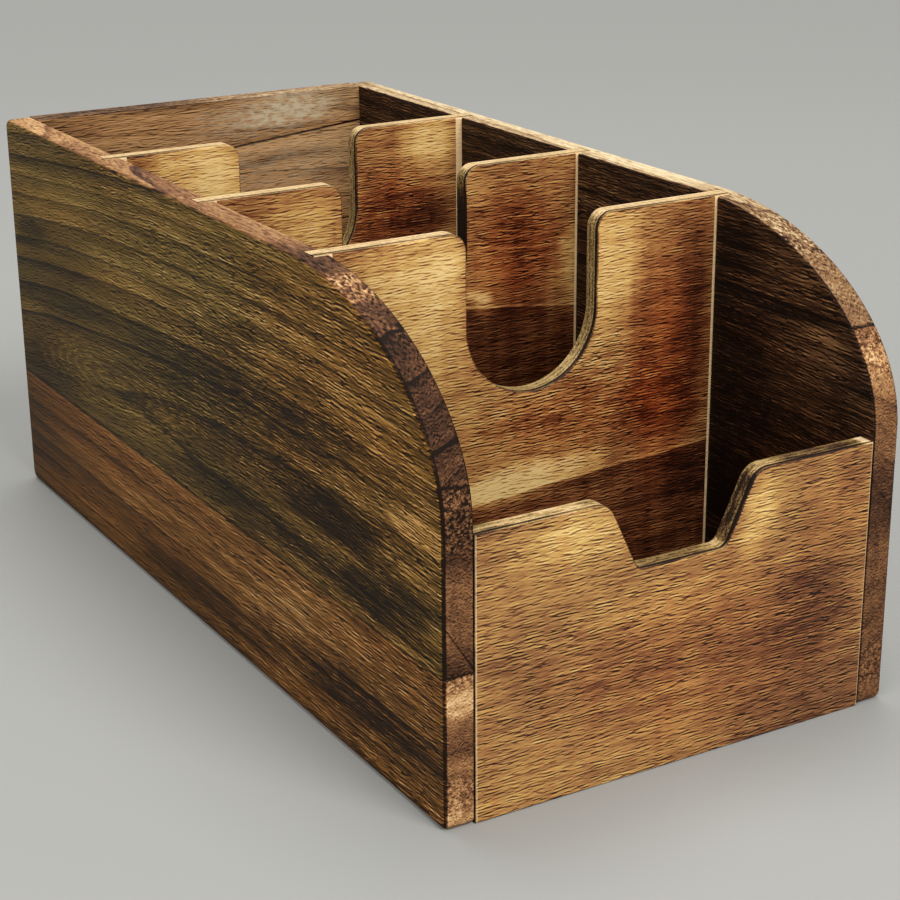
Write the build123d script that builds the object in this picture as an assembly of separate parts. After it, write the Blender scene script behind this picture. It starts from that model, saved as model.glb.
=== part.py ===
from build123d import *
import os

os.makedirs("parts", exist_ok=True)

# Outside of the box. The front faces -Y and the underside lies at Z = 0.
box_width = 144.0
box_depth = 300.0
box_height = 133.0

# Thickness of each kind of board: solid wood sides and back, plywood for the rest.
side_thickness = 9.0
back_thickness = 9.0
front_thickness = 6.0
bottom_thickness = 6.0
divider_thickness = 6.0

# Width of the narrower board in each panel that is glued up from two boards.
# The one in the back tapers, so its glue seam slopes.
left_lower_board_width = 42.5
right_upper_board_width = 25.0
back_upper_board_left_width = 24.7
back_upper_board_right_width = 12.6

# Side panels: a quarter ellipse sweeps from the top edge down to the straight front edge.
sweep_depth = 80.0
front_reveal = 2.0
front_foot_radius = 2.5
back_foot_radius = 3.5
back_top_radius = 2.8
side_outer_arris_radius = 1.8
side_inner_arris_radius = 0.9

# Back panel, between the sides.
back_arris_radius = 0.8

# Front panel: its top edge dips into a notch with slanted, rounded flanks.
front_height = 79.0
notch_top_width = 47.0
notch_bottom_width = 28.0
notch_depth = 20.0
notch_top_radius = 6.0
notch_bottom_radius = 3.0
front_arris_radius = 0.6

# Dividers: they stand in open-topped grooves in the sides and lift out.
compartment_length = 66.0
cutout_width = 43.0
cutout_depth = 48.5
tab_corner_radius = 5.0
divider_arris_radius = 0.7
groove_depth = 5.0
groove_clearance = 0.25
divider_names = ["front_divider", "middle_divider", "rear_divider"]

# Headless pins, driven through the sides into the panels between them.
pin_diameter = 0.64
pin_length = 22.0
pin_clearance = 0.04
front_pin_inset = 14.0
front_pin_count = 2
back_pin_inset = 22.0
back_pin_count = 3
bottom_pin_inset = 40.0
bottom_pin_count = 4

# How far every cutter runs past the face that it opens.
cut_overrun = 1.0

# Places that several pieces share.
front_y = -box_depth / 2
back_y = box_depth / 2
outer_x = box_width / 2
inner_x = outer_x - side_thickness
inner_width = 2 * inner_x
front_inner_y = front_y + front_thickness
back_inner_y = back_y - back_thickness
sweep_foot_height = front_height + front_reveal
sweep_height = box_height - sweep_foot_height
divider_pitch = compartment_length + divider_thickness
divider_height = box_height - bottom_thickness
divider_width = inner_width + 2 * (groove_depth - groove_clearance)
divider_face_ys = [front_inner_y + compartment_length + i * divider_pitch for i in range(len(divider_names))]


def evenly(first, last, count):
    step = (last - first) / max(count - 1, 1)
    return [first + i * step for i in range(count)]


# Each pin's place is its axis, as (y, z), the same on both sides of the box.
front_pin_places = [
    (front_y + front_thickness / 2, z)
    for z in evenly(front_pin_inset, front_height - front_pin_inset, front_pin_count)
]
back_pin_places = [
    (back_y - back_thickness / 2, z)
    for z in evenly(back_pin_inset, box_height - back_pin_inset, back_pin_count)
]
bottom_pin_places = [
    (y, bottom_thickness / 2)
    for y in evenly(front_y + bottom_pin_inset, back_y - bottom_pin_inset, bottom_pin_count)
]


def block(low, high):
    size = [b - a for a, b in zip(low, high)]
    return Pos(*low) * Box(*size, align=Align.MIN)


def rounded(outline, corner, radius):
    return fillet(outline.vertices().sort_by_distance(corner)[0], radius)


def eased(board, axis, radius):
    return fillet(board.faces().filter_by(axis).edges(), radius)


def eased_face(board, axis, side, radius):
    face = board.faces().filter_by(axis).sort_by(axis)[side]
    return fillet(face.edges(), radius)


def rods(places, radius, outer, inner):
    rod = Rot(Y=90) * Cylinder(radius, outer - inner, align=(Align.CENTER, Align.CENTER, Align.MIN))
    return [Pos(x, y, z) * rod for x in (-outer, inner) for y, z in places]


def pins(places):
    return Compound(rods(places, pin_diameter / 2, outer_x, outer_x - pin_length))


def pin_holes(places):
    hole_radius = pin_diameter / 2 + pin_clearance
    return rods(places, hole_radius, outer_x + cut_overrun, outer_x - pin_length - pin_clearance)


def side_outline():
    sweep_top = (front_y + sweep_depth, box_height)
    sweep_center = (front_y + sweep_depth, sweep_foot_height)
    straight = Polyline(
        (front_y, sweep_foot_height), (front_y, 0), (back_y, 0), (back_y, box_height), sweep_top
    )
    sweep = EllipticalCenterArc(sweep_center, sweep_depth, sweep_height, start_angle=90, arc_size=90)
    outline = make_face(straight + sweep)
    outline = rounded(outline, (front_y, 0), front_foot_radius)
    outline = rounded(outline, (back_y, 0), back_foot_radius)
    return rounded(outline, (back_y, box_height), back_top_radius)


def groove(face_y):
    low = (inner_x - cut_overrun, face_y - groove_clearance, bottom_thickness)
    high = (inner_x + groove_depth, face_y + divider_thickness + groove_clearance, box_height + cut_overrun)
    return block(low, high)


def right_side_panel():
    panel = extrude(Plane.YZ.offset(inner_x) * side_outline(), side_thickness)
    panel = eased_face(panel, Axis.X, -1, side_outer_arris_radius)
    panel = eased_face(panel, Axis.X, 0, side_inner_arris_radius)
    panel -= [groove(y) for y in divider_face_ys]
    return panel - pin_holes(front_pin_places + back_pin_places + bottom_pin_places)


def back_panel():
    panel = block((-inner_x, back_inner_y, 0), (inner_x, back_y, box_height))
    panel = fillet(panel.faces().sort_by(Axis.Z)[-1].edges().filter_by(Axis.X), back_arris_radius)
    return panel - pin_holes(back_pin_places)


def front_outline():
    half_top = notch_top_width / 2
    half_bottom = notch_bottom_width / 2
    notch_floor = front_height - notch_depth
    outline = make_face(Polyline(
        (-inner_x, 0), (inner_x, 0), (inner_x, front_height), (half_top, front_height),
        (half_bottom, notch_floor), (-half_bottom, notch_floor), (-half_top, front_height),
        (-inner_x, front_height), (-inner_x, 0),
    ))
    for side in (-1, 1):
        outline = rounded(outline, (side * half_top, front_height), notch_top_radius)
        outline = rounded(outline, (side * half_bottom, notch_floor), notch_bottom_radius)
    return outline


def front_panel():
    panel = extrude(Plane.XZ.offset(-front_inner_y) * front_outline(), front_thickness)
    panel = eased(panel, Axis.Y, front_arris_radius)
    return panel - pin_holes(front_pin_places)


def bottom_panel():
    panel = block((-inner_x, front_inner_y, 0), (inner_x, back_inner_y, bottom_thickness))
    return panel - pin_holes(bottom_pin_places)


def divider_outline():
    cutout_radius = cutout_width / 2
    arc_height = box_height - cutout_depth + cutout_radius
    mouth_height = cutout_depth - cutout_radius + cut_overrun
    standing = (Align.CENTER, Align.MIN)
    board = Pos(0, bottom_thickness) * Rectangle(divider_width, divider_height, align=standing)
    mouth = Pos(0, arc_height) * Rectangle(cutout_width, mouth_height, align=standing)
    outline = board - mouth - Pos(0, arc_height) * Circle(cutout_radius)
    for side in (-1, 1):
        outline = rounded(outline, (side * cutout_radius, box_height), tab_corner_radius)
    return outline


def divider(face_y):
    board = extrude(Plane.XZ.offset(-face_y - divider_thickness) * divider_outline(), divider_thickness)
    return eased(board, Axis.Y, divider_arris_radius)


def level_seam(height):
    return Plane.XY.offset(height)


def back_seam():
    climb = back_upper_board_left_width - back_upper_board_right_width
    middle_width = (back_upper_board_left_width + back_upper_board_right_width) / 2
    return Plane((0, 0, box_height - middle_width), z_dir=(-climb, 0, inner_width))


def two_boards(panel, seam):
    return split(panel, bisect_by=seam, keep=Keep.BOTTOM), split(panel, bisect_by=seam, keep=Keep.TOP)


right_panel = right_side_panel()
left_panel = mirror(right_panel, about=Plane.YZ)
right_lower, right_upper = two_boards(right_panel, level_seam(box_height - right_upper_board_width))
left_lower, left_upper = two_boards(left_panel, level_seam(left_lower_board_width))
back_lower, back_upper = two_boards(back_panel(), back_seam())

pieces = {
    "left_side_lower_board": left_lower,
    "left_side_upper_board": left_upper,
    "right_side_lower_board": right_lower,
    "right_side_upper_board": right_upper,
    "back_lower_board": back_lower,
    "back_upper_board": back_upper,
    "front_panel": front_panel(),
    "bottom_panel": bottom_panel(),
    "front_panel_pins": pins(front_pin_places),
    "back_panel_pins": pins(back_pin_places),
    "bottom_panel_pins": pins(bottom_pin_places),
}
for name, face_y in zip(divider_names, divider_face_ys):
    pieces[name] = divider(face_y)

for name, piece in pieces.items():
    export_step(piece, f"parts/{name}.step")
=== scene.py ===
import math
import bmesh
import bpy
from mathutils import Matrix, Vector

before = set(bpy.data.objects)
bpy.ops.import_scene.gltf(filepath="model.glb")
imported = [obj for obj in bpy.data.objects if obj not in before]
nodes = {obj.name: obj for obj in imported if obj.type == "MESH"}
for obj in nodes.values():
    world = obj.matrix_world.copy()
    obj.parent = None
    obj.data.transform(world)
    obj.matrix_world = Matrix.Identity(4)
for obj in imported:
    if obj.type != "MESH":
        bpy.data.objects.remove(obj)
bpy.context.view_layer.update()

print("frame loaded:", len(nodes), "nodes")


def tint(red, green, blue):
    # a colour as a screen shows it, turned into the linear one that shaders use
    screen = [c / 255 for c in (red, green, blue)]
    return [c / 12.92 if c <= 0.04045 else ((c + 0.055) / 1.055) ** 2.4 for c in screen] + [1]


class Sock:
    # one socket of a shader tree; sums on it add Math nodes
    def __init__(self, tree, out):
        self.tree = tree
        self.out = out

    def add(self, kind, settings, inputs, out=0):
        made = self.tree.nodes.new("ShaderNode" + kind)
        for key, value in settings.items():
            if key == "stops":
                self.fillRamp(made.color_ramp, value)
            else:
                setattr(made, key, value)
        for key, value in inputs.items():
            if isinstance(value, Sock):
                self.tree.links.new(value.out, made.inputs[key])
            else:
                made.inputs[key].default_value = value
        return Sock(self.tree, made.outputs[out]) if made.outputs else None

    def fillRamp(self, ramp, stops):
        while len(ramp.elements) < len(stops):
            ramp.elements.new(1)
        for element, (place, colour) in zip(ramp.elements, stops):
            element.position = place
            element.color = tint(*colour)

    def beside(self, name):
        # another output of the same node
        return Sock(self.tree, self.out.node.outputs[name])

    def calc(self, operation, a, b=0.0):
        return self.add("Math", {"operation": operation}, {0: a, 1: b})

    def __add__(self, other):
        return self.calc("ADD", self, other)

    def __radd__(self, other):
        return self.calc("ADD", other, self)

    def __sub__(self, other):
        return self.calc("SUBTRACT", self, other)

    def __rsub__(self, other):
        return self.calc("SUBTRACT", other, self)

    def __mul__(self, other):
        return self.calc("MULTIPLY", self, other)

    def __rmul__(self, other):
        return self.calc("MULTIPLY", other, self)

    def __truediv__(self, other):
        return self.calc("DIVIDE", self, other)

    def __rtruediv__(self, other):
        return self.calc("DIVIDE", other, self)

    def __pow__(self, other):
        return self.calc("POWER", self, other)

    def __rpow__(self, other):
        return self.calc("POWER", other, self)

    def __abs__(self):
        return self.calc("ABSOLUTE", self)


def rise(value, low, high, start=0.0, end=1.0):
    # goes smoothly from start to end as value goes from low to high
    ends = {"Value": value, "From Min": low, "From Max": high, "To Min": start, "To Max": end}
    return value.add("MapRange", {"interpolation_type": "SMOOTHSTEP"}, ends)


def split(vector):
    parts = vector.add("SeparateXYZ", {}, {0: vector})
    return [parts.beside(axis) for axis in "XYZ"]


def blend(factor, low, high, mode="MIX"):
    return factor.add("Mix", {"data_type": "RGBA", "blend_type": mode}, {0: factor, 6: low, 7: high}, 2)


def toned(toast, stops):
    return toast.add("ValToRGB", {"stops": stops}, {0: toast})


def grit(space, size, seed, detail=2.0, rough=0.5, out=0):
    # noise with grains of about size mm along the grain, across it and through the board
    placed = {"Vector": space, "Location": (seed, seed * 1.7, seed * 2.3), "Scale": [1 / s for s in size]}
    near = space.add("Mapping", {}, placed)
    noise = {"Vector": near, "Scale": 1.0, "Detail": detail, "Roughness": rough}
    return near.add("TexNoise", {}, noise, out)


def flecks(space, size, seed):
    # the same, stretched so that most of it is either light or dark: from -0.5 to 0.5
    return rise(grit(space, size, seed, 2.5, 0.6), 0.36, 0.64) - 0.5


def dashes(space, size, seed):
    # short dark pores with a fainter light fleck above and below, in clumps
    offset = 0.95 * size[1]
    clumpSize = [6 * s for s in size]
    lines = []
    for step in (0, offset, -offset):
        moved = space.add("VectorMath", {"operation": "ADD"}, {0: space, 1: (0, step, 0)})
        lines.append(rise(grit(moved, size, seed, 1.5, 0.6), 0.49, 0.65))
    dark, above, below = lines
    clumps = rise(grit(space, clumpSize, seed + 0.5), 0.36, 0.62, 0.75, 1.1)
    return (dark - (above + below) * 0.3 - 0.12) * clumps


def swayed(space, size, seed, reach):
    # pushes the space about, so that lines wander as grain does
    push = grit(space, size, seed, out=1)
    push = push.add("VectorMath", {"operation": "SUBTRACT"}, {0: push, 1: (0.5, 0.5, 0.5)})
    return push.add("VectorMath", {"operation": "MULTIPLY_ADD"}, {0: push, 1: reach, 2: space})


def scorched(space, patches):
    # sums soft patches: place along and across, half sizes, turn in degrees, depth, even core
    rightThrough = 1000  # a patch goes through the whole board
    total = 0.0
    for along, across, length, width, turn, depth, core in patches:
        inside = {"Vector": space, "Location": (along, across, 0), "Scale": (length, width, rightThrough)}
        inside["Rotation"] = (0, 0, math.radians(turn))
        spot = space.add("Mapping", {"vector_type": "TEXTURE"}, inside)
        far = spot.add("VectorMath", {"operation": "LENGTH"}, {0: spot}, "Value")
        total = rise(far, 1.0, core, 0.0, depth) + total
    return total


def bareMaterial(name):
    # an empty material, and the place on the object that its nodes start from
    material = bpy.data.materials.new(name)
    material.use_nodes = True
    material.node_tree.nodes.clear()
    return material, Sock(material.node_tree, None).add("TexCoord", {}, {}, "Object")


def newWood(name, order, centre):
    # its space runs along the grain, across it and through the board, in mm
    material, metres = bareMaterial(name)
    mm = metres.add("VectorMath", {"operation": "SCALE"}, {0: metres, "Scale": 1000.0})
    mm = mm.add("VectorMath", {"operation": "SUBTRACT"}, {0: mm, 1: centre})
    spaces = []
    for vector in (mm, metres.beside("Normal")):
        parts = split(vector)
        spaces.append(vector.add("CombineXYZ", {}, {i: parts["xyz".index(a)] for i, a in enumerate(order)}))
    return material, spaces[0], spaces[1]


def lacquered(material, colour, roughness, height, finish):
    deepest = 0.0005  # metres
    bump = {"Height": height, "Strength": finish["relief"], "Distance": deepest}
    looks = {"Base Color": colour, "Roughness": roughness, "Specular IOR Level": finish["shine"]}
    looks["Normal"] = height.add("Bump", {}, bump)
    shader = colour.add("BsdfPrincipled", {}, looks)
    shader.add("OutputMaterial", {}, {"Surface": shader})
    return material


# what all the solid boards share: sizes in mm along, across and through, and how deep each mark is
solidWood = {
    "driftSize": (110, 16, 12), "rippleSize": (26, 5, 5), "rippleReach": (0, 0.6, 0.4),
    "bandSize": (420, 8, 14), "streakSize": (60, 1.0, 2.0), "fibreSize": (10, 0.9, 1.0),
    "poreSize": (4.6, 0.46, 0.6), "stippleSize": (1.7, 1.0, 0.9), "mottleSize": (3.6, 1.6, 2.0),
    "raggedSize": (40, 5, 5), "raggedReach": (40, 5, 0), "crumbSize": (6, 6, 4), "crumbReach": (5, 5, 0),
    "streaks": 0.15, "fibres": 0.17, "pores": 0.58, "evenToast": 0.04, "arrisToast": 0.08, "edgeRing": 0.26,
    "seamWidth": 0.6, "edgeRingWidth": 0.7, "lineCore": 0.1,
    "warmSize": (90, 14, 20), "warmTint": (255, 222, 196), "bleachAndSheenTint": (196, 178, 146),
    "roughness": 0.55, "relief": 0.14, "shine": 0.07,
}


def boardWood(name, board):
    # solid wood, torched: the same rings and fibres run through its faces, edges and ends
    grain = solidWood
    material, space, normal = newWood(name, board["order"], (0, 0, 0))
    seed = board["seed"]
    along, across, through = split(space)
    nAlong, nThrough = split(normal)[::2]
    bowStart, bow = board["bow"]
    away = along - bowStart
    bent = space.add("CombineXYZ", {}, {0: along, 1: across + away * away * bow, 2: through})
    drift = swayed(bent, grain["driftSize"], seed, (0, board["wander"], board["wander"]))
    ripple = swayed(drift, grain["rippleSize"], seed + 1, grain["rippleReach"])
    dAcross, dThrough = split(drift)[1:]

    # growth rings round a pith that leans along the board, each with a thin dark rim
    pithAcross, pithThrough, lean = board["pith"]
    side = dThrough - (along * lean + pithThrough)
    up = dAcross - pithAcross
    ring = (up * up + side * side) ** 0.5 / board["ringWidth"] + seed
    late = ring.calc("FRACT", ring)
    dice = ring.add("TexWhiteNoise", {"noise_dimensions": "1D"}, {"W": ring.calc("FLOOR", ring)})
    rings = rise(late, 0.2, 0.95) * rise(late, 1.0, 0.95) * (dice * 0.6 + 0.4)
    rims = rise(late, 0.84, 0.93) * rise(late, 1.0, 0.96) * (dice * 0.7 + 0.3)

    bands = grit(drift, grain["bandSize"], seed + 3, 3.0, 0.6)
    streaks = flecks(drift, grain["streakSize"], seed + 5)
    fibres = flecks(ripple, grain["fibreSize"], seed + 7)
    pores = dashes(ripple, grain["poreSize"], seed + 9)
    stipple = flecks(space, grain["stippleSize"], seed + 13)

    # which way the surface faces: board face or edge, outside or inside, end grain, rounded arris
    face = rise(abs(nThrough), 0.45, 0.92)
    outer = rise(nThrough * board["outward"], -0.2, 0.2)
    end = rise(abs(nAlong), 0.3, 0.85)
    flat = nThrough * nThrough
    arris = rise(flat * (1 - flat), 0.12, 0.24)

    # how deep the torch went: outside and inside faces, then the edges
    ragged = swayed(bent, grain["raggedSize"], seed + 15, grain["raggedReach"])
    outside = scorched(ragged, board["outside"]) + board["outsideToast"]
    inside = scorched(ragged, board["inside"]) + board["insideToast"]
    crumbly = swayed(space, grain["crumbSize"], seed + 17, grain["crumbReach"])
    edge = scorched(crumbly, board["edge"]) + board["edgeToast"]
    edge = edge + stipple * (scorched(crumbly, board["speckle"]) + 0.1)
    toast = inside + outer * (outside - inside)
    toast = edge + face * (toast - edge)

    # the wood's own marks on top of that, calmer on the edges
    grown = rings * board["ringDepth"] + rims * board["rimDepth"]
    toast = toast + grown * (1 - end * 0.5) + (bands - 0.5) * board["bandDepth"]
    rough = 0.45 + (scorched(ragged, board["smooth"]) + 0.55) * face
    marks = streaks * grain["streaks"] + fibres * grain["fibres"] + pores * grain["pores"]
    toast = toast + marks * rough + grain["evenToast"]
    toast = toast + arris * (scorched(space, board["burntArris"]) + grain["arrisToast"])
    for height, slope, depth in board["seams"]:
        seam = abs(across - along * slope - height)
        toast = toast + rise(seam, grain["seamWidth"], grain["lineCore"]) * depth

    # a knot: thin pale arcs, nested round it
    for knot in board["knots"]:
        swell = scorched(drift, [knot])
        arc = swell + fibres * 0.35 + streaks * 0.3
        arc = arc.calc("FRACT", arc)
        arcs = rise(arc, 0.25, 0.5) * rise(arc, 0.75, 0.5) * rise(swell, 0.3, 2.0)
        toast = toast + (0.03 - arcs * 0.2) * rise(swell, 0.0, 1.0) * face * outer

    # a single dark ring that crosses the front edge
    for top, foot in board["edgeRings"]:
        line = abs(across - top - (through - board["outerFace"]) * foot)
        toast = toast + rise(line, grain["edgeRingWidth"], grain["lineCore"]) * end * grain["edgeRing"]

    colour = blend(outer, toned(toast, board["insideTone"]), toned(toast, board["outsideTone"]))
    colour = blend(face, toned(toast, board["edgeTone"]), colour)
    warmth = rise(grit(space, grain["warmSize"], seed + 19), 0.35, 0.7, 0.0, 0.35)
    warmth = (warmth + scorched(ragged, board["warm"])) * face
    colour = blend(warmth, colour, tint(*grain["warmTint"]), "MULTIPLY")
    # pale mottled patches on inside faces: on the back upper board a painted sheen highlight, on the back
    # lower board bleached wood
    if board["bleachAndSheen"]:
        mottle = flecks(space, grain["mottleSize"], seed + 21)
        bleachAndSheenMask = scorched(ragged, board["bleachAndSheen"]) * (mottle + fibres + 0.9) * (1 - outer)
        colour = blend(bleachAndSheenMask, colour, tint(*grain["bleachAndSheenTint"]))

    roughness = grain["roughness"] + pores * 0.1 + end * 0.14 + streaks * 0.06
    height = streaks * 0.2 + fibres * 0.25 - pores * 0.1 - rims * 0.3 + end * stipple * 0.4
    return lacquered(material, colour, roughness, height, grain)


# what the torched plywood shares, sizes in mm
torchedPly = {
    "waveSize": (24, 8, 8), "waveReach": (0, 0.5, 0), "fibreSize": (7.0, 0.8, 1.4),
    "poreSize": (4.0, 0.44, 0.7), "streakSize": (40, 1.9, 4), "mottleSize": (24, 15, 40),
    "strokeSize": (4.5, 60, 40), "raggedSize": (14, 5, 20), "raggedReach": (9, 4, 0),
    "tideSize": (22, 12, 30), "tideReach": 4,
    "dotSize": (1.6, 1.6, 0.7), "speckleSize": (0.6, 0.6, 0.35), "burnSize": (9, 7, 1.5),
    "crumbSize": (8, 8, 8), "crumbReach": (4, 4, 0), "darkGlueAt": -2.0, "faintGlueAt": (-0.6, 1.0),
    "streaks": 0.11, "mottle": 0.28, "fibres": 0.15, "pores": 0.5, "evenToast": 0.02,
    "emberTint": (255, 186, 152), "bareTint": (248, 216, 164),
    "roughness": 0.46, "relief": 0.14, "shine": 0.12,
}


def plyWood(name, panel):
    # torched plywood: short flecks on its faces, plies and glue lines on its edges
    grain = torchedPly
    material, space, normal = newWood(name, "xzy", (0, panel["middle"], 0))
    seed = panel["seed"]
    along, across, through = split(space)
    nAlong, nAcross, nThrough = split(normal)
    wavy = swayed(space, grain["waveSize"], seed, grain["waveReach"])
    fibres = flecks(wavy, grain["fibreSize"], seed + 3)
    pores = dashes(wavy, grain["poreSize"], seed + 5)
    streaks = flecks(wavy, grain["streakSize"], seed + 9)
    mottle = grit(space, grain["mottleSize"], seed + 11, 3.0, 0.55)
    strokes = grit(space, grain["strokeSize"], seed + 13)

    face = rise(abs(nThrough), 0.5, 0.93)
    front = rise(nThrough, 0.2, -0.2)
    ragged = swayed(space, grain["raggedSize"], seed + 15, grain["raggedReach"])
    ahead = scorched(ragged, panel["front"])
    behind = scorched(ragged, panel["back"])
    toast = panel["toast"] + behind + front * (ahead - behind)
    toast = toast + streaks * grain["streaks"] + (mottle - 0.5) * grain["mottle"]
    toast = toast + (strokes - 0.5) * panel["strokes"]

    # an old wet line: darker below it, with a faint pale rim
    if panel["tide"]:
        foot, slope, depth, bottom = panel["tide"]
        wander = (grit(space, grain["tideSize"], seed + 17) - 0.5) * grain["tideReach"]
        line = across - along * slope - foot - wander
        below = rise(line, 0.4, -0.5) * rise(across, bottom - 14, bottom + 12, 0.2, 1.0)
        toast = toast + below * front * depth
        toast = toast - rise(abs(line - 0.5), 0.6, 0.1) * front * 0.16
    marks = fibres * grain["fibres"] + pores * grain["pores"] + grain["evenToast"]
    toast = toast + marks * (panel["grain"] + scorched(ragged, panel["coarse"]))

    # plies: the glue line behind the front veneer is the darkest, and end grain speckles the cut ends
    dots = rise(grit(space, grain["dotSize"], seed + 23), 0.35, 0.6)
    glue = rise(abs(through - grain["darkGlueAt"]), 0.7, 0.3) * rise(mottle, 0.3, 0.55, 0.5, 1.0)
    for depth in grain["faintGlueAt"]:
        glue = glue + rise(abs(through - depth), 0.4, 0.1) * dots * 0.5
    ends = rise(abs(nAlong), 0.3, 0.8)
    # edges that face up are painted paler: painted light from above
    paintedTopLight = rise(nAcross, 0.5, 0.9)
    speckle = flecks(space, grain["speckleSize"], seed + 19)
    burn = rise(grit(space, grain["burnSize"], seed + 25, 3.0), 0.44, 0.66) * panel["edgeBurn"]
    plies = panel["edgeToast"] - paintedTopLight * 0.3 + burn + glue * 0.6 + speckle * (0.14 + ends * 0.2)
    crumbly = swayed(space, grain["crumbSize"], seed + 21, grain["crumbReach"])
    plies = plies + scorched(crumbly, panel["edge"])
    toast = plies + face * (toast - plies)
    flat = nThrough * nThrough
    rim = rise(flat * (1 - flat), 0.04, 0.2)
    toast = toast + rim * rise(mottle, 0.4, 0.6, 0.02, panel["rimBurn"])

    colour = blend(face, toned(toast, panel["edgeTone"]), toned(toast, panel["tone"]))
    ember = scorched(ragged, panel["ember"]) * face * front + rise(strokes, 0.55, 0.75) * 0.15
    colour = blend(ember, colour, tint(*grain["emberTint"]), "MULTIPLY")

    # bare strips that the torch missed, next to the side panels
    reach, bare = panel["strip"]
    strip = rise(abs(along), reach, reach + 0.25) * face * (bare + fibres * 0.2)
    colour = blend(strip, colour, tint(*grain["bareTint"]))

    roughness = grain["roughness"] + pores * 0.1 + (1 - face) * 0.15 + streaks * 0.06
    height = streaks * 0.2 + fibres * 0.25 - pores * 0.1 - (1 - face) * glue * 0.4
    return lacquered(material, colour, roughness, height, grain)


def finishNode(node, material):
    nodes[node].material_slots[0].material = material
    print("finished", node)


# colours from bare wood to char
oliveTone = [
    (0, (208, 176, 114)), (0.25, (147, 117, 59)), (0.5, (94, 73, 31)), (0.75, (56, 43, 18)),
    (1, (25, 18, 10)),
]
emberTone = [
    (0, (212, 166, 106)), (0.25, (154, 107, 53)), (0.5, (103, 67, 28)), (0.75, (60, 39, 16)),
    (1, (26, 17, 9)),
]
umberTone = [
    (0, (196, 156, 108)), (0.25, (160, 122, 80)), (0.5, (110, 78, 50)), (0.75, (58, 38, 24)),
    (1, (20, 13, 9)),
]
edgeTone = [
    (0, (234, 200, 149)), (0.25, (191, 146, 97)), (0.5, (137, 94, 60)), (0.75, (82, 53, 35)),
    (1, (28, 18, 12)),
]
honeyTone = [
    (0, (241, 208, 140)), (0.2, (213, 169, 96)), (0.4, (180, 128, 74)), (0.6, (134, 81, 45)),
    (0.8, (84, 43, 23)), (1, (30, 15, 9)),
]
amberTone = [
    (0, (240, 210, 138)), (0.2, (208, 167, 94)), (0.4, (176, 130, 75)), (0.6, (136, 90, 55)),
    (0.8, (90, 54, 34)), (1, (30, 18, 12)),
]
creamTone = [
    (0, (240, 214, 172)), (0.25, (212, 180, 130)), (0.5, (148, 122, 70)), (0.75, (82, 56, 34)),
    (1, (26, 17, 11)),
]
khakiTone = [
    (0, (230, 208, 166)), (0.25, (190, 164, 122)), (0.5, (138, 102, 68)), (0.75, (82, 56, 38)),
    (1, (28, 18, 13)),
]

# the boards: patches are as scorched takes them, seams are height, slope and depth,
# edgeRings are height and slant, and the pith is its place across and through, and its lean
leftUpper = {
    "order": "yzx", "seed": 2.4, "outward": -1, "outerFace": -72, "wander": 4.5, "bow": (-60, 0.0003),
    "pith": (62, -50, 0.02), "ringWidth": 6.6, "ringDepth": 0.16, "rimDepth": 0.24, "bandDepth": 0.45,
    "outsideToast": 0.5, "insideToast": 0.78, "edgeToast": 0.79, "seams": [(42.5, 0, 0.4)],
    "outside": [
        (-92, 66, 40, 8, -4, 0.32, 0.6), (-138, 80, 19, 9, 0, -0.24, 0.5),
        (-30, 93, 90, 40, 0, 0.1, 0.3), (30, 57, 46, 14, 0, -0.12, 0.2), (20, 85, 190, 6, -1, 0.2, 0.2),
        (-118, 58, 46, 18, 0, 0.16, 0.3), (-126, 57, 34, 8, 0, 0.28, 0.3),
        (-60, 50, 110, 8, 0, 0.24, 0.3), (130, 58, 60, 18, 0, 0.3, 0.2),
        (-100, 101, 60, 5, -1, -0.08, 0.1), (-82, 88, 40, 22, 0, 0.13, 0.3),
        (-50, 50, 50, 9, 0, 0.06, 0.3), (20, 68, 50, 16, 0, -0.06, 0.3),
        (40, 107, 50, 9, 0, -0.07, 0.3), (132, 107, 22, 9, 0, 0.16, 0.3),
        (105, 120, 50, 9, 0, -0.06, 0.3), (-80, 77, 60, 2.6, -2, -0.18, 0.1),
        (0, 66, 120, 24, -2, 0.2, 0.4), (-29, 93, 34, 15, -2, 0.13, 0.3),
        (118, 92, 70, 24, 0, 0.14, 0.3), (-40, 112, 90, 12, 0, -0.1, 0.2),
        (100, 116, 70, 12, 0, -0.06, 0.2),
    ],
    "smooth": [
        (-95, 66, 34, 6, -4, -0.5, 0.5), (120, 85, 110, 90, 0, -0.5, 0.3),
        (-80, 80, 110, 60, 0, 0.6, 0.4),
    ],
    "inside": [(-100, 95, 40, 14, 0, -0.12, 0.2)],
    "edge": [
        (50, 133, 140, 12, 0, -0.42, 0.7), (130, 133, 45, 10, 0, -0.12, 0.4),
        (-98, 129, 13, 7, 0, -0.26, 0.3), (-115, 119, 6, 5, 0, -0.12, 0.3),
        (-149, 84, 9, 11, 0, -0.04, 0.3), (-150, 60, 12, 16, 0, -0.22, 0.4),
        (-136, 104, 14, 12, 0, 0.04, 0.4),
    ],
    "speckle": [
        (-98, 129, 12, 6, 0, 0.5, 0.4), (-115, 120, 6, 5, 0, 0.5, 0.4), (-148, 84, 8, 12, 0, 0.4, 0.4),
    ],
    "burntArris": [(-150, 40, 16, 70, 0, 0.5, 0.7), (-124, 110, 28, 22, 0, 0.24, 0.5)],
    "edgeRings": [(57, -1.55), (92, -0.1), (99.5, 0.25), (121, 0.4)],
    "warm": [(-110, 90, 110, 70, 0, 0.6, 0.3)],
    "knots": [(62, 66, 92, 16, 0, 8, 0)],
    "bleachAndSheen": [], "outsideTone": oliveTone, "insideTone": umberTone, "edgeTone": edgeTone,
}
finishNode("left_side_upper_board", boardWood("leftUpperWood", leftUpper))

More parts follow.
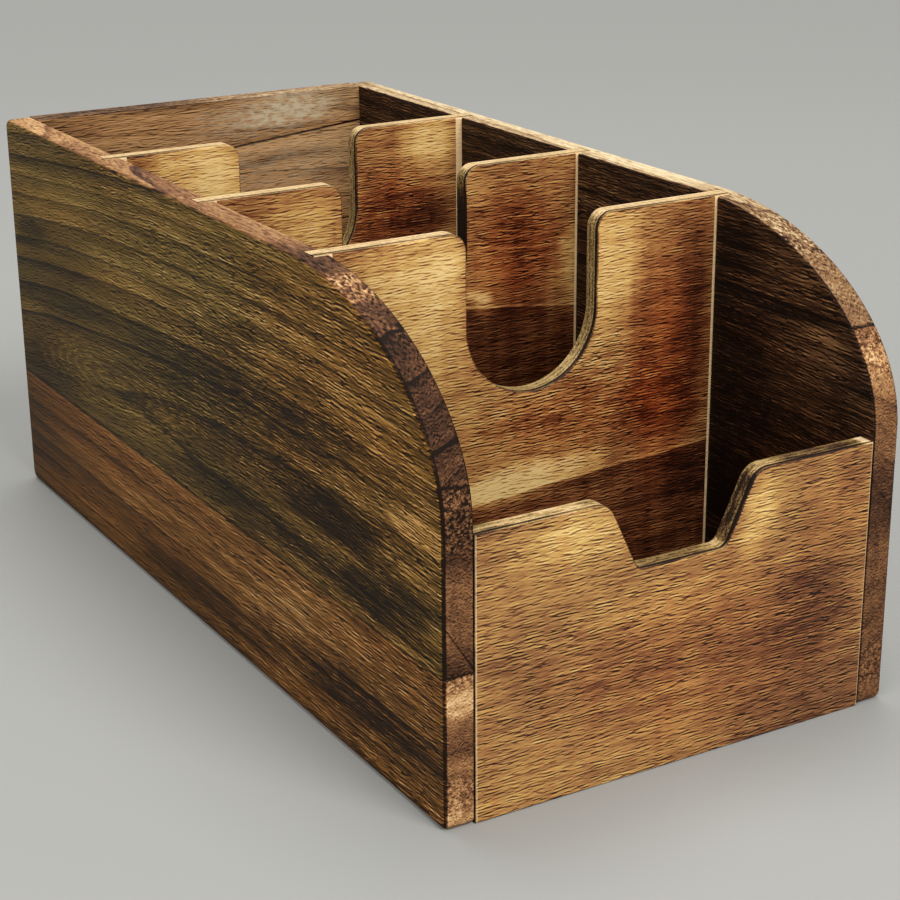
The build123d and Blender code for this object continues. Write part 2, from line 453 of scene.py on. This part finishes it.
leftLower = {
    "order": "yzx", "seed": 7.9, "outward": -1, "outerFace": -72, "wander": 3.0, "bow": (0, 0.0),
    "pith": (-40, -60, 0.03), "ringWidth": 6.2, "ringDepth": 0.12, "rimDepth": 0.14, "bandDepth": 0.55,
    "outsideToast": 0.56, "insideToast": 0.78, "edgeToast": 0.46, "seams": [(42.5, 0, 0.4)],
    "outside": [
        (-75, 33, 100, 6, 0, -0.13, 0.2), (-30, 9, 130, 9, 0, 0.1, 0.3),
        (-100, 17, 62, 6, -1, 0.26, 0.2), (0, 11, 75, 7, 1, 0.2, 0.2), (60, 28, 80, 7, 0, -0.1, 0.2),
        (0, 0, 300, 4, 0, 0.2, 0.2), (-118, 18, 56, 24, 0, 0.14, 0.3), (140, 20, 34, 30, 0, 0.12, 0.2),
        (20, 40.5, 90, 2, 0, -0.1, 0.3), (-40, 41, 70, 4, 0, 0.07, 0.3),
    ],
    "smooth": [(140, 25, 90, 40, 0, -0.5, 0.3), (-90, 20, 90, 40, 0, 0.5, 0.4)],
    "inside": [(0, 20, 120, 20, 0, 0.05, 0.2)],
    "edge": [
        (-150, 35, 10, 4.5, 0, -0.34, 0.4), (-150, 24, 10, 6, 0, 0.14, 0.3),
        (-150, 3, 10, 3, 0, -0.16, 0.3),
    ],
    "speckle": [(-150, 9, 8, 8, 0, 0.28, 0.4), (-150, 41, 8, 3, 0, 0.3, 0.4)],
    "burntArris": [(-150, 20, 16, 60, 0, 0.4, 0.7)],
    "edgeRings": [], "warm": [], "knots": [], "bleachAndSheen": [], "outsideTone": emberTone,
    "insideTone": umberTone, "edgeTone": edgeTone,
}
finishNode("left_side_lower_board", boardWood("leftLowerWood", leftLower))

rightUpper = {
    "order": "yzx", "seed": 13.2, "outward": 1, "outerFace": 72, "wander": 3.0, "bow": (0, 0.0),
    "pith": (40, 30, 0.02), "ringWidth": 5.6, "ringDepth": 0.14, "rimDepth": 0.2, "bandDepth": 0.45,
    "outsideToast": 0.44, "insideToast": 0.8, "edgeToast": 0.5, "seams": [(108, 0, 0.4)],
    "outside": [(-60, 120, 80, 7, 0, -0.12, 0.2), (70, 124, 70, 6, 1, 0.2, 0.2)],
    "smooth": [(0, 120, 60, 12, 0, 0.3, 0.3)],
    "inside": [(-115, 116, 30, 9, 0, -0.12, 0.2), (-86, 120, 20, 16, 0, 0.16, 0.3)],
    "edge": [(38, 133, 128, 12, 0, -0.42, 0.7), (-90, 130, 24, 8, 0, -0.12, 0.3)],
    "speckle": [(-104, 126, 22, 9, 0, 0.36, 0.4)],
    "burntArris": [(-130, 110, 24, 20, 0, 0.2, 0.4)],
    "edgeRings": [], "warm": [], "knots": [], "bleachAndSheen": [], "outsideTone": oliveTone,
    "insideTone": umberTone, "edgeTone": khakiTone,
}
finishNode("right_side_upper_board", boardWood("rightUpperWood", rightUpper))

rightLower = {
    "order": "yzx", "seed": 17.6, "outward": 1, "outerFace": 72, "wander": 4.5, "bow": (-40, 0.0002),
    "pith": (48, 40, -0.03), "ringWidth": 6.8, "ringDepth": 0.14, "rimDepth": 0.22, "bandDepth": 0.45,
    "outsideToast": 0.44, "insideToast": 0.84, "edgeToast": 0.54, "seams": [(108, 0, 0.4)],
    "outside": [
        (-70, 86, 70, 7, 1, -0.14, 0.2), (40, 70, 90, 9, -2, 0.28, 0.2),
        (-110, 40, 40, 10, 0, 0.34, 0.2), (70, 34, 80, 9, 1, -0.1, 0.2), (0, 0, 300, 5, 0, 0.2, 0.2),
        (0, 60, 150, 14, 0, 0.1, 0.3),
    ],
    "smooth": [(-100, 40, 40, 9, 0, -0.6, 0.4)],
    "inside": [
        (-124, 98, 30, 13, 0, -0.14, 0.2), (-118, 84, 26, 4, 0, -0.08, 0.2),
        (-82, 74, 34, 60, 0, 0.16, 0.2), (-110, 44, 60, 44, 0, 0.12, 0.3),
        (-128, 103, 15, 10, 0, -0.15, 0.3), (-140, 85, 9, 5, 0, 0.1, 0.3),
    ],
    "edge": [
        (-146, 98, 14, 10, 0, -0.18, 0.3), (-150, 62, 12, 14, 0, 0.2, 0.3),
        (-150, 36, 12, 46, 0, 0.1, 0.4),
    ],
    "speckle": [(-140, 101, 12, 9, 0, 0.34, 0.4), (-150, 12, 8, 10, 0, 0.2, 0.4)],
    "burntArris": [(-150, 80, 14, 30, 0, 0.2, 0.6)],
    "edgeRings": [],
    "warm": [(-90, 60, 90, 60, 0, 0.5, 0.3)],
    "knots": [(-30, 52, 80, 16, 2, 8, 0)],
    "bleachAndSheen": [], "outsideTone": oliveTone, "insideTone": umberTone, "edgeTone": edgeTone,
}
finishNode("right_side_lower_board", boardWood("rightLowerWood", rightLower))

backUpper = {
    "order": "xzy", "seed": 23.1, "outward": 1, "outerFace": 150, "wander": 5.0, "bow": (0, 0.0),
    "pith": (150, 120, 0.1), "ringWidth": 5.2, "ringDepth": 0.1, "rimDepth": 0.16, "bandDepth": 0.4,
    "outsideToast": 0.46, "insideToast": 0.2, "edgeToast": 0.4, "seams": [(114.35, 0.096, 0.75)],
    "outside": [(-20, 124, 40, 5, 0, -0.12, 0.2)],
    "smooth": [(0, 125, 90, 20, 0, -0.25, 0.5)],
    "inside": [
        (-56, 130, 22, 10, 0, 0.2, 0.2), (58, 124, 7, 12, 0, 0.12, 0.2), (0, 133, 70, 2.5, 0, 0.2, 0.3),
        (22, 119.2, 34, 3.0, 5.5, 0.2, 0.3), (-10, 121, 60, 5, 5.5, 0.06, 0.3),
    ],
    "edge": [(-34, 133, 50, 12, 0, 0.26, 0.3)],
    "speckle": [(0, 133, 70, 10, 0, 0.2, 0.5)],
    "burntArris": [(0, 133, 90, 10, 0, 0.2, 0.5)],
    "edgeRings": [], "warm": [], "knots": [],
    # these pale patches are a painted sheen highlight on the inside face
    "bleachAndSheen": [(34, 127, 24, 6.5, 5, 0.5, 0.3), (26, 126, 44, 10, 4, 0.3, 0.3)],
    "outsideTone": oliveTone, "insideTone": umberTone, "edgeTone": khakiTone,
}
finishNode("back_upper_board", boardWood("backUpperWood", backUpper))

backLower = {
    "order": "xzy", "seed": 29.5, "outward": 1, "outerFace": 150, "wander": 4.0, "bow": (0, 0.0),
    "pith": (60, 170, 0.08), "ringWidth": 6.4, "ringDepth": 0.14, "rimDepth": 0.2, "bandDepth": 0.5,
    "outsideToast": 0.46, "insideToast": 0.18, "edgeToast": 0.42, "seams": [(114.35, 0.096, 0.75)],
    "outside": [
        (-20, 80, 50, 8, 2, 0.26, 0.2), (30, 40, 60, 10, -1, -0.12, 0.2), (0, 0, 140, 5, 0, 0.2, 0.2),
    ],
    "smooth": [(0, 100, 90, 40, 0, -0.25, 0.5)],
    "inside": [
        (24, 114, 40, 2.2, 5.5, -0.12, 0.3), (20, 108.6, 44, 2.2, 4, 0.24, 0.2),
        (46, 102, 20, 7, 0, 0.16, 0.2), (0, 30, 140, 60, 0, 0.4, 0.4),
    ],
    "edge": [],
    "speckle": [(0, 60, 80, 80, 0, 0.1, 0.5)],
    "burntArris": [(0, 0, 90, 10, 0, 0.2, 0.5)],
    "edgeRings": [], "warm": [],
    "knots": [(24, 60, 46, 15, 0, 7, 0)],
    "bleachAndSheen": [(20, 108, 60, 16, 0, 0.16, 0.3)],
    "outsideTone": emberTone, "insideTone": umberTone, "edgeTone": edgeTone,
}
finishNode("back_lower_board", boardWood("backLowerWood", backLower))

# the plywood: a tide is height, slope, depth and foot, a strip where it starts and how bare it is
frontPanel = {
    "middle": -147, "seed": 3.3, "toast": 0.52, "edgeToast": 0.68, "edgeBurn": 0.3, "strokes": 0.12,
    "rimBurn": 0.3, "grain": 1.0, "strip": (62.3, 0.4), "tide": None,
    "front": [
        (-30, 73, 22, 13, 0, -0.23, 0.2), (-46, 66, 22, 16, 0, -0.1, 0.2),
        (25, 66, 10, 17, -25, -0.3, 0.2), (-59, 74, 9, 13, 0, 0.08, 0.2),
        (-46, 44, 24, 13, 0, 0.08, 0.2), (47, 34, 24, 20, 0, 0.18, 0.2), (8, 30, 42, 10, 0, 0.08, 0.2),
        (-36, 6, 46, 8, 0, -0.04, 0.2), (48, 8, 46, 19, 0, 0.24, 0.4), (36, 36, 30, 19, 0, 0.11, 0.3),
        (0, 27, 84, 19, 0, 0.07, 0.3), (57, 70, 9, 14, 0, 0.14, 0.2), (45, 52, 26, 26, 0, 0.06, 0.2),
    ],
    "back": [(0, 40, 80, 40, 0, 0.24, 0.3)],
    "edge": [
        (46, 79, 18, 8, 0, 0.26, 0.5), (63, 79, 4, 8, 0, -0.4, 0.3), (-40, 79, 20, 8, 0, -0.12, 0.4),
        (0, 59, 16, 3, 0, 0.2, 0.3),
    ],
    "ember": [(10, 30, 64, 36, 0, 0.26, 0.3), (53, 62, 14, 20, 0, 0.2, 0.3)],
    "coarse": [(-10, 38, 50, 20, 0, 0.3, 0.3), (47, 34, 24, 20, 0, 0.3, 0.3)],
    "tone": amberTone, "edgeTone": creamTone,
}
finishNode("front_panel", plyWood("frontPlywood", frontPanel))

frontDivider = {
    "middle": -75, "seed": 5.1, "toast": 0.46, "edgeToast": 0.5, "edgeBurn": 0.1, "strokes": 0.24,
    "rimBurn": 0.3, "grain": 0.95, "strip": (62.15, 0.9), "tide": (54.7, 0.062, 0.36, 20),
    # in front, the patches at along 50, 56 and 57 darken the part next to the right side panel: painted
    # shade of that panel, on top of the burn
    "front": [
        (-42, 116, 22, 26, 0, -0.22, 0.3), (-30, 108, 14, 34, 0, -0.1, 0.3),
        (33, 66, 16, 12, 0, 0.18, 0.3), (32, 92, 12, 20, 0, 0.12, 0.3), (45, 108, 8, 26, 0, -0.12, 0.3),
        (45, 75, 8, 8, 0, -0.1, 0.3), (57, 108, 9, 34, 0, 0.13, 0.3), (27, 118, 14, 28, 0, -0.25, 0.3),
        (50, 100, 20, 48, 0, 0.3, 0.2), (-6, 57.5, 37, 8, 4, -0.42, 0.2),
        (56, 60, 14, 50, 0, 0.16, 0.2), (14, 76, 46, 14, 0, 0.2, 0.2), (44, 72, 24, 18, 0, 0.12, 0.2),
        (-50, 84, 16, 20, 0, 0.06, 0.2), (-27, 127, 8, 10, 0, -0.14, 0.2), (55, 59, 8, 6, 0, -0.1, 0.3),
    ],
    "back": [(0, 60, 70, 50, 0, 0.2, 0.3), (-40, 120, 20, 14, 0, -0.1, 0.2)],
    "edge": [(0, 86, 26, 7, 0, 0.25, 0.3)],
    "ember": [(46, 84, 20, 50, 0, 0.7, 0.2), (16, 74, 48, 18, 0, 0.42, 0.2)],
    "coarse": [(16, 80, 52, 26, 0, 0.8, 0.3)],
    "tone": honeyTone, "edgeTone": creamTone,
}
finishNode("front_divider", plyWood("frontDividerPlywood", frontDivider))

middleDivider = {
    "middle": -3, "seed": 8.7, "toast": 0.56, "edgeToast": 0.5, "edgeBurn": 0.1, "strokes": 0.26,
    "rimBurn": 0.3, "grain": 0.85, "strip": (62.15, 0.9), "tide": (90.2, -0.118, 0.24, 40),
    # in front, the pale patch at along 61 is a painted highlight: a vertical glare next to the right side
    # panel
    "front": [
        (-42, 120, 22, 18, 0, -0.2, 0.3), (25, 126, 10, 10, 0, -0.14, 0.2),
        (61, 98, 7, 22, 0, -0.28, 0.2), (26, 91, 6, 3.5, 0, -0.4, 0.3), (40, 104, 20, 28, 0, 0.2, 0.2),
        (36, 106, 30, 1.2, -5, -0.14, 0.2), (-30, 122, 12, 14, 0, -0.08, 0.3),
        (29, 100, 8, 10, 0, -0.12, 0.3), (28, 87, 7, 4, 0, -0.16, 0.3), (36, 97, 6, 12, 0, -0.1, 0.3),
        (45, 110, 6, 8, 0, 0.1, 0.3), (45, 88, 6, 7, 0, 0.09, 0.3), (55, 112, 9, 11, 0, 0.09, 0.3),
        (-51, 121, 10, 15, 0, 0.18, 0.3), (-27, 120, 7, 14, 0, -0.08, 0.3),
    ],
    "back": [(0, 60, 70, 50, 0, 0.2, 0.3), (30, 118, 26, 14, 0, -0.1, 0.2)],
    "edge": [(0, 86, 26, 7, 0, 0.25, 0.3), (22, 104, 6, 28, 0, 0.6, 0.5)],
    "ember": [(40, 104, 26, 30, 0, 0.6, 0.2)],
    "coarse": [(40, 110, 26, 26, 0, 0.5, 0.3)],
    "tone": honeyTone, "edgeTone": creamTone,
}
finishNode("middle_divider", plyWood("middleDividerPlywood", middleDivider))

rearDivider = {
    "middle": 69, "seed": 12.9, "toast": 0.52, "edgeToast": 0.5, "edgeBurn": 0.1, "strokes": 0.18,
    "rimBurn": 0.34, "grain": 0.85, "strip": (60.6, 0.9), "tide": None,
    # in front, the pale patch at along 50, across 125 is a painted highlight
    "front": [
        (-40, 122, 26, 18, 0, -0.31, 0.4), (50, 125, 15, 12, 0, -0.38, 0.2),
        (38, 100, 30, 16, 0, 0.28, 0.4), (26, 120, 8, 16, 0, 0.08, 0.2), (29, 113, 9, 5, 0, 0.12, 0.3),
        (47, 100, 20, 5, 0, 0.13, 0.3), (-57, 123, 13, 14, 0, 0.2, 0.3),
        (-29, 122, 13, 16, 0, -0.15, 0.3),
    ],
    "back": [(0, 60, 70, 50, 0, 0.2, 0.3), (-30, 118, 26, 14, 0, -0.12, 0.2)],
    "edge": [(0, 86, 26, 7, 0, 0.25, 0.3)],
    "ember": [(34, 104, 26, 22, 0, 0.5, 0.2)],
    "coarse": [(30, 108, 30, 20, 0, 0.6, 0.3)],
    "tone": honeyTone, "edgeTone": creamTone,
}
finishNode("rear_divider", plyWood("rearDividerPlywood", rearDivider))

floorPly = {
    "seed": 19.3, "under": 0.34, "torched": 0.34, "tone": honeyTone, "edgeTone": creamTone,
    "waveSize": (16, 4, 8), "waveReach": (0, 1.5, 0), "fibreSize": (5.0, 0.6, 0.8),
    "poreSize": (4.2, 0.6, 0.8), "streakSize": (60, 1.8, 4), "mottleSize": (40, 22, 40),
    "darkGlueAt": 2.0, "faintGlueAt": 0.7, "roughness": 0.55, "relief": 0.4, "shine": 0.25,
}


def floorWood(name, panel):
    # the plywood floor: torched on top, plain underneath, grain along the box
    material, space, normal = newWood(name, "yxz", (0, 0, 3))
    seed = panel["seed"]
    through = split(space)[2]
    nThrough = split(normal)[2]
    wavy = swayed(space, panel["waveSize"], seed, panel["waveReach"])
    fibres = flecks(wavy, panel["fibreSize"], seed + 1)
    pores = dashes(wavy, panel["poreSize"], seed + 3)
    streaks = flecks(wavy, panel["streakSize"], seed + 5)
    mottle = grit(space, panel["mottleSize"], seed + 7, 3.0, 0.55)
    top = rise(nThrough, -0.2, 0.2)
    face = rise(abs(nThrough), 0.5, 0.93)
    toast = top * panel["torched"] + panel["under"] + (mottle - 0.5) * 0.3
    toast = toast + streaks * 0.12 + fibres * 0.14 + pores * 0.3
    glue = rise(abs(abs(through) - panel["darkGlueAt"]), 0.32, 0.1)
    glue = glue + rise(abs(abs(through) - panel["faintGlueAt"]), 0.2, 0.06) * 0.7
    toast = toast + (1 - face) * (glue * 0.5 - 0.1)
    colour = blend(face, toned(toast, panel["edgeTone"]), toned(toast, panel["tone"]))
    roughness = panel["roughness"] + pores * 0.2
    height = streaks * 0.2 + fibres * 0.3 - pores * 0.6
    return lacquered(material, colour, roughness, height, panel)


finishNode("bottom_panel", floorWood("bottomPlywood", floorPly))

pinSteel = {
    "dull": (70, 54, 40), "bright": (104, 88, 70), "hazeSize": (0.4, 0.25, 0.25), "seed": 4.0,
    "metal": 0.85, "roughness": 0.42,
}


def pinMetal(name, pin):
    # pin ends: dulled by the torch, so they hardly show in the wood
    material, space, _ = newWood(name, "xyz", (0, 0, 0))
    haze = rise(grit(space, pin["hazeSize"], pin["seed"]), 0.35, 0.65)
    colour = blend(haze, tint(*pin["dull"]), tint(*pin["bright"]))
    looks = {"Base Color": colour, "Metallic": pin["metal"], "Roughness": haze * 0.2 + pin["roughness"]}
    shader = colour.add("BsdfPrincipled", {}, looks)
    shader.add("OutputMaterial", {}, {"Surface": shader})
    return material


dulledSteel = pinMetal("dulledSteel", pinSteel)
for node in ("front_panel_pins", "back_panel_pins", "bottom_panel_pins"):
    finishNode(node, dulledSteel)

studio = {
    "floorReach": 9.0, "floorRows": 6, "bend": 3.0, "bendRows": 12, "wall": 1.0, "around": 72,
    "nearTint": (160, 160, 156), "farTint": (240, 239, 236), "tintFrom": 0.9, "tintTo": 5.0,
    "hazeTint": (185, 185, 180), "hazeFrom": 1.3, "hazeTo": 3.2, "roughness": 0.75, "shine": 0.25,
    "keyLamp": {"at": (0.3, -2.1, 2.05), "size": 1.6, "watts": 58},
    "fillLamp": {"at": (-2.4, -1.1, 1.45), "size": 2.2, "watts": 40},
    "topLamp": {"at": (0.2, 0.8, 2.8), "size": 1.9, "watts": 40},
    "lampAim": (0, 0, 0.06), "sky": 0.42,
}


def floorMesh(spec):
    # a round floor whose rim bends up all the way round, so every side sees the same pale ground
    rows = [(spec["floorReach"] * i / spec["floorRows"], 0) for i in range(1, spec["floorRows"] + 1)]
    for i in range(1, spec["bendRows"] + 1):
        angle = math.radians(90 * i / spec["bendRows"])
        out = spec["floorReach"] + spec["bend"] * math.sin(angle)
        rows.append((out, spec["bend"] * (1 - math.cos(angle))))
    rows.append((rows[-1][0], rows[-1][1] + spec["wall"]))
    around = spec["around"]
    turns = [2 * math.pi * k / around for k in range(around)]
    build = bmesh.new()
    centre = build.verts.new((0, 0, 0))
    rims = []
    for out, high in rows:
        rims.append([build.verts.new((out * math.cos(t), out * math.sin(t), high)) for t in turns])
    for k in range(around):
        follow = (k + 1) % around
        build.faces.new((centre, rims[0][k], rims[0][follow]))
        for inner, outer in zip(rims, rims[1:]):
            build.faces.new((inner[k], outer[k], outer[follow], inner[follow]))
    for face in build.faces:
        face.smooth = True
    mesh = bpy.data.meshes.new("studioFloor")
    build.to_mesh(mesh)
    build.free()
    return mesh


def paleGround(spec):
    material, place = bareMaterial("paleGround")
    far = place.add("VectorMath", {"operation": "LENGTH"}, {0: place}, "Value")
    paler = rise(far, spec["tintFrom"], spec["tintTo"])
    colour = blend(paler, tint(*spec["nearTint"]), tint(*spec["farTint"]))
    looks = {"Base Color": colour, "Roughness": spec["roughness"], "Specular IOR Level": spec["shine"]}
    shader = colour.add("BsdfPrincipled", {}, looks)
    # far off the ground is an even pale tone to whoever looks at it, and lights nothing
    rays = far.add("LightPath", {}, {})
    seen = rays.beside("Is Camera Ray") + rays.beside("Is Glossy Ray") + rays.beside("Is Transmission Ray")
    seen = seen * rise(far, spec["hazeFrom"], spec["hazeTo"])
    haze = far.add("Emission", {}, {"Color": tint(*spec["hazeTint"]), "Strength": 1.0})
    shader = far.add("MixShader", {}, {0: seen, 1: shader, 2: haze})
    shader.add("OutputMaterial", {}, {"Surface": shader})
    return material


def softLamp(name, lamp, aim):
    light = bpy.data.lights.new(name, "AREA")
    light.shape = "DISK"
    light.size = lamp["size"]
    light.energy = lamp["watts"]
    holder = bpy.data.objects.new(name, light)
    holder.location = lamp["at"]
    holder.rotation_euler = (aim - Vector(lamp["at"])).to_track_quat("-Z", "Y").to_euler()
    bpy.context.scene.collection.objects.link(holder)


def softSky(strength):
    world = bpy.data.worlds.new("softSky")
    world.use_nodes = True
    sky = world.node_tree.nodes["Background"].inputs
    sky["Color"].default_value = (1, 1, 1, 1)
    sky["Strength"].default_value = strength
    bpy.context.scene.world = world


floor = bpy.data.objects.new("studioFloor", floorMesh(studio))
bpy.context.scene.collection.objects.link(floor)
floor.data.materials.append(paleGround(studio))
for name in ("keyLamp", "fillLamp", "topLamp"):
    softLamp(name, studio[name], Vector(studio["lampAim"]))
softSky(studio["sky"])
print("studio ready")

shot = {
    "at": (-0.29892, -0.54011, 0.26552), "aim": (0.0099, -0.0147, 0.0454), "roll": 0.474,
    "lens": 81.96, "sensor": 36, "nearest": 0.01,
}


def photoCamera(spec):
    data = bpy.data.cameras.new("photoCamera")
    data.lens = spec["lens"]
    data.sensor_width = spec["sensor"]
    data.clip_start = spec["nearest"]
    holder = bpy.data.objects.new("photoCamera", data)
    look = (Vector(spec["aim"]) - Vector(spec["at"])).to_track_quat("-Z", "Y").to_matrix().to_4x4()
    roll = Matrix.Rotation(math.radians(-spec["roll"]), 4, "Z")
    holder.matrix_world = Matrix.Translation(spec["at"]) @ look @ roll
    bpy.context.scene.collection.objects.link(holder)
    bpy.context.scene.camera = holder


photoCamera(shot)
bpy.context.scene.view_settings.view_transform = "Standard"
print("camera set")
